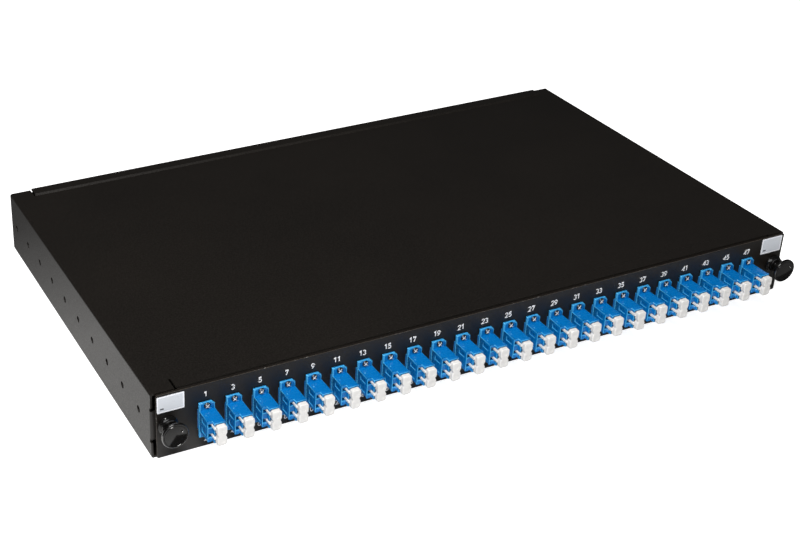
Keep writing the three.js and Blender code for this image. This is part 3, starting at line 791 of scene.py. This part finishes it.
def boot_at(z):
    """The ribbed, tapering boot of the plug in the socket at z."""
    outline = [(0, BOOT_START - 0.3), (BOOT_RADIUS, BOOT_START - 0.3)]
    for i in range(BOOT_RIBS):
        radius, y = BOOT_RADIUS - 0.13 * i, BOOT_START + 1.2 + 1.7 * i
        groove = radius - 0.35
        outline += [(radius, y), (groove, y + 0.15), (groove, y + 0.7), (radius - 0.1, y + 0.85)]
    outline += [(0.9, BOOT_END - 0.3), (0.75, BOOT_END), (0, BOOT_END)]
    boot = turned(outline, 20)
    bmesh.ops.translate(boot, vec=(SOCKET_X, 0, z), verts=boot.verts)
    return boot


def plug_model():
    """Two fibre plugs in an adapter's rear sockets, each with its boot."""
    plugs = []
    for z in SOCKETS_Z:
        corners = rounded(
            SOCKET_X - PLUG_HALF, SOCKET_X + PLUG_HALF, z - PLUG_HALF, z + PLUG_HALF, 0.4, 3
        )
        plugs.append(prism(corners, PLUG_START, BOOT_START))
        plugs.append(block(SOCKET_X - 3.6, SOCKET_X - 2.0, 11.5, 15.5, z - 0.9, z + 0.9))
    model = object_of("plug", mesh_of("plug", plugs[0], ["blue", "cap"]))
    combine(model, plugs[1:], "UNION")
    combine(model, [boot_at(z) for z in SOCKETS_Z], "UNION")
    for part in model.data.polygons:
        part.material_index = 1 if part.center.y > (BOOT_START + 0.01) * MM else 0
    return shade(model, 40)


spread_out(
    plug_model(),
    ["rear_plugs_" + n for n in PORTS],
    port_places(FACE_Y),
    ["drawer"] * len(PORTS),
)


CASSETTE_LOW, CASSETTE_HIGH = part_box("splice_cassette")
SPOOL_X, SPOOL_RADIUS = 48.0, 24.0
ENTRY_INNER, ENTRY_STEP = 54.2, 1.05  # the fibres' places in the gap in the cassette's wall
FIBRE_RADIUS = 0.42
FIBRE_STEP = 0.92  # between neighbouring fibres on a spool
SIDE_PORTS = len(PORTS) // 2
PER_LAYER = 6  # fibres side by side on a spool
TURN_STEPS, LAST_ANGLE = 18, 235  # how far round its spool a fibre goes, in degrees


def bend(start, end, steps):
    """Points on a smooth S from one place to another, both ends along Y."""
    whole, points = end - start, []
    for i in range(steps + 1):
        t = i / steps
        ease = t * t * (3 - 2 * t)
        points.append(start + Vector((whole.x * ease, whole.y * t, whole.z * ease)))
    return points


def fibre_path(side, rank, row):
    """From a boot, through the gap in the cassette's wall and part of the way round its spool."""
    port = PORTS[SIDE_PORTS + rank] if side > 0 else PORTS[SIDE_PORTS - 1 - rank]
    layer, place = divmod(rank, PER_LAYER)
    level = CASSETTE_LOW.z / MM + 2.0 + FIBRE_STEP * (2 * layer + row)
    centre_y = (CASSETTE_LOW.y + CASSETTE_HIGH.y) / 2 / MM
    boot = Vector((PORT_X[port] / MM + SOCKET_X, FACE_Y / MM + BOOT_END - 1, ROW_Z / MM + SOCKETS_Z[row]))
    entry = Vector((side * (ENTRY_INNER + ENTRY_STEP * rank), CASSETTE_LOW.y / MM - 1, level))
    radius = SPOOL_RADIUS + 1.3 + FIBRE_STEP * place
    spool = Vector((side * (SPOOL_X + radius), centre_y, level))
    points = bend(boot, entry, 22) + bend(entry, spool, 12)[1:]
    for i in range(1, TURN_STEPS + 1):
        angle = math.radians(LAST_ANGLE * i / TURN_STEPS)
        x, y = SPOOL_X + radius * math.cos(angle), centre_y + radius * math.sin(angle)
        points.append(Vector((side * x, y, level)))
    return points


def tube(bm, points, radius, slot, sides=6):
    """Adds a closed tube along points to a bmesh, with its faces in a material slot."""
    rings = []
    for i, point in enumerate(points):
        ahead = points[min(i + 1, len(points) - 1)] - points[max(i - 1, 0)]
        across = ahead.cross(Vector((0, 0, 1))).normalized()
        over = across.cross(ahead).normalized()
        angles = [2 * math.pi * k / sides for k in range(sides)]
        spokes = [(across * math.cos(a) + over * math.sin(a)) * radius for a in angles]
        rings.append([bm.verts.new(point + spoke) for spoke in spokes])
    faces = [bm.faces.new(rings[0]), bm.faces.new(rings[-1][::-1])]
    for a, b in zip(rings, rings[1:]):
        for k in range(sides):
            j = (k + 1) % sides
            faces.append(bm.faces.new((a[k], a[j], b[j], b[k])))
    for part in faces:
        part.material_index = slot


for side, name in ((-1, "pigtails_left"), (1, "pigtails_right")):
    bm = bmesh.new()
    for rank in range(SIDE_PORTS):
        for row in (0, 1):
            tube(bm, fibre_path(side, rank, row), FIBRE_RADIUS, (2 * rank + row) % len(FIBRE_COLOURS))
    piece = object_of(name, mesh_of(name, bm, ["fibre_" + colour for colour in FIBRE_COLOURS]))
    shade(piece, 50)
    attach(piece, "drawer")


# A fibre clip in millimetres, from the middle of its foot
CLIP_HALF, CLIP_DEPTH, CLIP_HIGH = 13.0, 3.6, 8.6
CLIP_WALL, CLIP_OPENING, CLIP_LEDGE = 1.3, 0.8, 1.2
CLIP_Z = CASSETTE_LOW.z - 0.35 * MM  # on the tray, just below the cassette's foot
FRONT_CLIP = (61.6 * MM, CASSETTE_LOW.y - 3.6 * MM)
REAR_CLIP = (150 * MM, CASSETTE_HIGH.y + 20 * MM)


def clip_model():
    """A stick-on fibre clip: a foot, two posts and two fingers that nearly meet over the fibres."""
    post, roof = CLIP_HALF - CLIP_LEDGE, CLIP_HIGH - CLIP_WALL
    outside = [(CLIP_HALF, 0), (CLIP_HALF, CLIP_WALL), (post, CLIP_WALL), (post, roof)]
    finger = [(post - 1.2, CLIP_HIGH), (CLIP_OPENING, CLIP_HIGH), (CLIP_OPENING + 0.5, roof)]
    inside = [(post - CLIP_WALL, roof), (post - CLIP_WALL, CLIP_WALL)]
    right = outside + finger + inside
    outline = right + [(-x, z) for x, z in reversed(right)]
    model = object_of("clip", mesh_of("clip", prism(outline, -CLIP_DEPTH / 2, CLIP_DEPTH / 2), ["cap"]))
    return soften(model, 0.25, 2)


spread_out(
    clip_model(),
    [f"fibre_clip_{end}_{side}" for end in ("front", "rear") for side in ("left", "right")],
    [(side * x, y, CLIP_Z) for x, y in (FRONT_CLIP, REAR_CLIP) for side in (-1, 1)],
    ["drawer"] * 4,
)


# ---------------------------------------------------------------- labels and numbers


def label(name, x0, x1, z0, z1):
    """A stuck-on paper label with a paler border round its writing field, and a printed dash."""
    thickness, border = 0.12, 0.85
    bm = bmesh.new()
    outer = rounded(x0, x1, z0, z1, 0.4)
    inner = rounded(x0 + border, x1 - border, z0 + border, z1 - border, 0.1)
    back = [bm.verts.new((x, 0, z)) for x, z in outer]
    front = [bm.verts.new((x, -thickness, z)) for x, z in outer]
    field = [bm.verts.new((x, -thickness, z)) for x, z in inner]
    bm.faces.new(back)
    bm.faces.new(field).material_index = 1
    for i in range(len(outer)):
        j = (i + 1) % len(outer)
        bm.faces.new((back[i], back[j], front[j], front[i]))
        bm.faces.new((front[i], front[j], field[j], field[i]))
    piece = object_of(name, mesh_of(name, bm, ["label", "label_field"]), (0, FACE_Y - 0.01 * MM, 0))
    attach(piece, "drawer")
    left, foot, width, height = x0 + 1.9, z0 + 2.0, 2.0, 0.9
    print_y = (-thickness - 0.04, -thickness + 0.04)
    mark = mesh_of(name + "_mark", block(left, left + width, *print_y, foot, foot + height), ["mark"])
    dash = object_of(name + "_mark", mark, (0, FACE_Y - 0.01 * MM, 0))
    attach(dash, "drawer")


label("label_left", -215.0, -199.0, 29.8, 40.2)
label("label_right", 199.4, 215.3, 30.0, 40.9)


def arc(x, z, radius_x, radius_z, start, end, steps=12):
    """Points on an ellipse's arc, with its angles in degrees."""
    angles = [math.radians(start + (end - start) * i / steps) for i in range(steps + 1)]
    return [(x + radius_x * math.cos(a), z + radius_z * math.sin(a)) for a in angles]


# Each digit's strokes, in a box 0.6 wide and 1 high
DIGITS = {
    "0": [arc(0.3, 0.5, 0.28, 0.5, 0, 360, 20)],
    "1": [[(0.1, 0.76), (0.36, 1.0), (0.36, 0.0)]],
    "2": [arc(0.3, 0.72, 0.27, 0.28, 165, -35) + [(0.03, 0.0), (0.6, 0.0)]],
    "3": [arc(0.28, 0.75, 0.25, 0.25, 150, -90), arc(0.28, 0.26, 0.29, 0.26, 80, -150)],
    "4": [[(0.45, 0.0), (0.45, 1.0), (0.0, 0.3), (0.62, 0.3)]],
    "5": [[(0.55, 1.0), (0.12, 1.0), (0.06, 0.52)] + arc(0.28, 0.32, 0.3, 0.32, 130, -150)],
    "6": [arc(0.3, 0.3, 0.28, 0.3, 0, 360, 18), arc(0.6, 0.3, 0.58, 0.7, 180, 100)],
    "7": [[(0.02, 1.0), (0.6, 1.0), (0.22, 0.0)]],
    "8": [arc(0.3, 0.76, 0.24, 0.24, 0, 360, 16), arc(0.3, 0.26, 0.28, 0.26, 0, 360, 18)],
    "9": [arc(0.3, 0.7, 0.28, 0.3, 0, 360, 18), arc(0.0, 0.7, 0.58, 0.7, 0, -80)],
}
DIGIT_STEP = 0.78


def stroke(bm, points, width, y0, y1):
    """A line of printed ink with mitred corners: a closed strip, or a ring where its ends meet."""
    closed = math.dist(points[0], points[-1]) < 1e-6
    if closed:
        points = points[:-1]
    count = len(points)
    rows = []
    for i, (x, z) in enumerate(points):
        before = points[i - 1] if closed or i else points[i]
        after = points[(i + 1) % count] if closed or i < count - 1 else points[i]
        first = Vector((x, z)) - Vector(before)
        second = Vector(after) - Vector((x, z))
        first, second = (first or second).normalized(), (second or first).normalized()
        across = Vector((-(first + second).y, (first + second).x)).normalized()
        reach = width / 2 / max(0.45, across.dot(Vector((-first.y, first.x))))
        left, right = Vector((x, z)) + across * reach, Vector((x, z)) - across * reach
        section = ((left, y0), (right, y0), (right, y1), (left, y1))
        rows.append([bm.verts.new((u.x, y, u.y)) for u, y in section])
    for i in range(count if closed else count - 1):
        a, b = rows[i], rows[(i + 1) % count]
        for k in range(4):
            bm.faces.new((a[k], a[(k + 1) % 4], b[(k + 1) % 4], b[k]))
    if not closed:
        bm.faces.new(rows[0])
        bm.faces.new(rows[-1][::-1])


def lettering(name, texts, height, weight, key):
    """Raised print on the front panel from (text, x, z), with z at the foot, in millimetres."""
    bm = bmesh.new()
    for text, x, z in texts:
        width = (0.6 + DIGIT_STEP * (len(text) - 1)) * height
        for k, digit in enumerate(text):
            left = x - width / 2 + k * DIGIT_STEP * height
            for line in DIGITS[digit]:
                points = [(left + u * height, z + v * height) for u, v in line]
                stroke(bm, points, weight, -0.06, 0)
    piece = object_of(name, mesh_of(name, bm, [key]), (0, FACE_Y - 0.03 * MM, 0))
    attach(piece, "drawer")


NUMBER_HEIGHT, NUMBER_WEIGHT = 3.0, 0.56
WIDE_SHIFT = -1.0  # numbers of two digits sit a little to the left


def number_row(name, first, z):
    """Every second number from the first, one to each adapter."""
    texts = []
    for i, n in enumerate(PORTS):
        text = str(first + 2 * i)
        texts.append((text, PORT_X[n] / MM + (WIDE_SHIFT if len(text) == 2 else 0), z))
    lettering(name, texts, NUMBER_HEIGHT, NUMBER_WEIGHT, "ink")


number_row("port_numbers_upper", 1, 33.2)
number_row("port_numbers_lower", 2, 4.0)


# ---------------------------------------------------------------- cable gland seal


def gland_seal():
    """The rubber ring inside the gland's dome nut."""
    low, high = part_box("gland_nut")
    end = (high.y - low.y) / MM
    inner_end = [(3.1, 8.9), (4.1, 8.9), (4.5, 9.5)]
    outer_end = [(4.5, end - 1.2), (4.2, end - 0.5), (3.3, end - 0.4), (3.1, end - 0.8)]
    seal = turned(inner_end + outer_end, 48)
    piece = object_of("gland_seal", mesh_of("gland_seal", seal, ["rubber"]))
    shade(piece, 40)
    piece.location = (middle("gland_nut").x, low.y, middle("gland_nut").z)
    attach(piece, "sleeve")


gland_seal()


# ---------------------------------------------------------------- floor, light and camera


SHADE_SLOPE = 1.257
SHADE_CORNER = Vector((-0.2140, FACE_Y - 0.019))
FLOOR_HALF = 4000  # millimetres


def panel_shade(s, x, y):
    """The object's own shade on the floor, which its front mirrors: a band from about 16 to 34 mm
    ahead of the panel, wider near its left end, where it's cut off on a slant."""
    left = SHADE_CORNER.x + 0.0167
    edge = s.spread(x, left, left + 0.012, FACE_Y - 0.040, FACE_Y - 0.034)
    near = s.spread(s.math("SUBTRACT", y, edge), -0.0005, 0.0005)
    far = s.spread(y, FACE_Y - 0.018, FACE_Y - 0.015, 1.0, 0.0)
    slant = s.math("ADD", y, s.math("MULTIPLY", x, SHADE_SLOPE))
    corner = SHADE_CORNER.y + SHADE_SLOPE * SHADE_CORNER.x
    beside = s.math("MULTIPLY", far, s.spread(slant, corner - 0.0008, corner + 0.0008))
    return s.math("MULTIPLY", s.math("MULTIPLY", near, beside), 0.96)


def room_shade(s, x, y):
    """The dark room that the floor falls off into: ahead of the object, to its right and behind."""
    ahead = s.spread(y, FACE_Y - 0.075, FACE_Y - 0.03, 0.72, 0.0)
    right = s.spread(x, 0.15, 0.2, 0.0, 0.65)
    behind = s.spread(y, 0.0, 0.16, 0.05, 0.75)
    return s.math("MAXIMUM", s.math("MAXIMUM", ahead, right), behind)


def floor():
    """A white floor. Only glossy rays see the shades on it, so only the object's faces mirror them."""
    s = Shader("floor_white", Roughness=0.9, Specular_IOR_Level=0.0)
    path = s.add("ShaderNodeLightPath").outputs
    place = s.add("ShaderNodeSeparateXYZ", Vector=s.coords).outputs
    x, y = place["X"], place["Y"]
    mirrored = s.math("MAXIMUM", panel_shade(s, x, y), room_shade(s, x, y))
    dark = s.math("MULTIPLY", path["Is Glossy Ray"], mirrored)
    pale = s.mix(s.noise(3.0, 2), (0.86, 0.86, 0.86), (0.90, 0.90, 0.90))
    s.set("Base Color", s.mix(dark, pale, (0.012, 0.012, 0.012)))
    s.set("Emission Color", (1.0, 1.0, 1.0))
    # Away from the lights the floor keeps its white, so that it meets the background unseen.
    away = s.add("ShaderNodeVectorMath", Vector=s.coords)
    away.operation = "LENGTH"
    glow = s.spread(away.outputs["Value"], 0.6, 1.6, 0.84, 1.0)
    s.set("Emission Strength", s.math("MULTIPLY", path["Is Camera Ray"], glow))
    bm = bmesh.new()
    bmesh.ops.create_grid(bm, x_segments=2, y_segments=2, size=FLOOR_HALF)
    mesh = mesh_of("floor", bm)
    mesh.materials.append(s.material)
    object_of("floor", mesh, (0, 0, -0.0002))


floor()


def studio():
    """A background that the camera sees as white, and that lights the object only faintly."""
    world = bpy.data.worlds.new("studio")
    bpy.context.scene.world = world
    world.use_nodes = True
    tree = world.node_tree
    tree.nodes.clear()
    seen, glow = tree.nodes.new("ShaderNodeBackground"), tree.nodes.new("ShaderNodeBackground")
    seen.inputs["Color"].default_value = (1, 1, 1, 1)
    glow.inputs["Color"].default_value = (0.9, 0.95, 1.0, 1)
    glow.inputs["Strength"].default_value = 0.04
    mix, path = tree.nodes.new("ShaderNodeMixShader"), tree.nodes.new("ShaderNodeLightPath")
    tree.links.new(path.outputs["Is Camera Ray"], mix.inputs[0])
    tree.links.new(glow.outputs[0], mix.inputs[1])
    tree.links.new(seen.outputs[0], mix.inputs[2])
    out = tree.nodes.new("ShaderNodeOutputWorld")
    tree.links.new(mix.outputs[0], out.inputs["Surface"])


studio()


def area_light(name, place, target, size, power, colour=(1, 1, 1)):
    data = bpy.data.lights.new(name, "AREA")
    data.shape = "RECTANGLE"
    data.size, data.size_y = size
    data.energy = power
    data.color = colour
    lamp = bpy.data.objects.new(name, data)
    lamp.location = place
    lamp.rotation_euler = (Vector(target) - Vector(place)).to_track_quat("-Z", "Y").to_euler()
    bpy.context.scene.collection.objects.link(lamp)


area_light("key", (-0.42, -0.42, 1.0), (-0.1, -0.1, 0), (0.5, 0.5), 14.3, (1.0, 0.985, 0.96))
area_light("fill", (-0.45, -1.4, 0.85), (-0.05, -0.1, 0.02), (1.2, 0.6), 7.4, (0.97, 0.985, 1.0))


def reference_camera():
    """The camera of the reference view: where it stands, from the middle of the sleeve's front
    edge, how it is turned, and how far its lens is shifted, in parts of the sensor's width."""
    azimuth, elevation, roll = (math.radians(a) for a in (-23.44, 27.41, -0.45))
    lens, shift_x, shift_y = 64.5381, 0.247725, -0.091725
    place = Vector((-0.44139, SLEEVE_FRONT_Y - 0.58694, 0.48788))
    level = math.cos(elevation)
    ahead = Vector((-math.sin(azimuth) * level, math.cos(azimuth) * level, -math.sin(elevation)))
    right = Vector((math.cos(azimuth), math.sin(azimuth), 0))
    up = right.cross(ahead)
    across = right * math.cos(roll) + up * math.sin(roll)
    upward = up * math.cos(roll) - right * math.sin(roll)
    data = bpy.data.cameras.new("camera")
    data.sensor_fit = "HORIZONTAL"
    data.sensor_width = 36.0
    data.lens = lens
    data.clip_start, data.clip_end = 0.01, 50
    camera = bpy.data.objects.new("camera", data)
    turned_by = Matrix((across, upward, -ahead)).transposed().to_4x4()
    camera.matrix_world = Matrix.Translation(place) @ turned_by
    bpy.context.scene.collection.objects.link(camera)
    bpy.context.scene.camera = camera
    # The lens shift holds at the reference place only, so that any other view is centred.
    for path, shift in (("shift_x", shift_x), ("shift_y", shift_y)):
        driver = data.driver_add(path).driver
        driver.type = "SCRIPTED"
        variable = driver.variables.new()
        variable.name = "x"
        variable.targets[0].id = camera
        variable.targets[0].data_path = "location.x"
        driver.expression = f"{shift:.6f} if abs(x - {place.x:.6f}) < 0.0001 else 0.0"


reference_camera()
bpy.context.scene.view_settings.view_transform = "Standard"
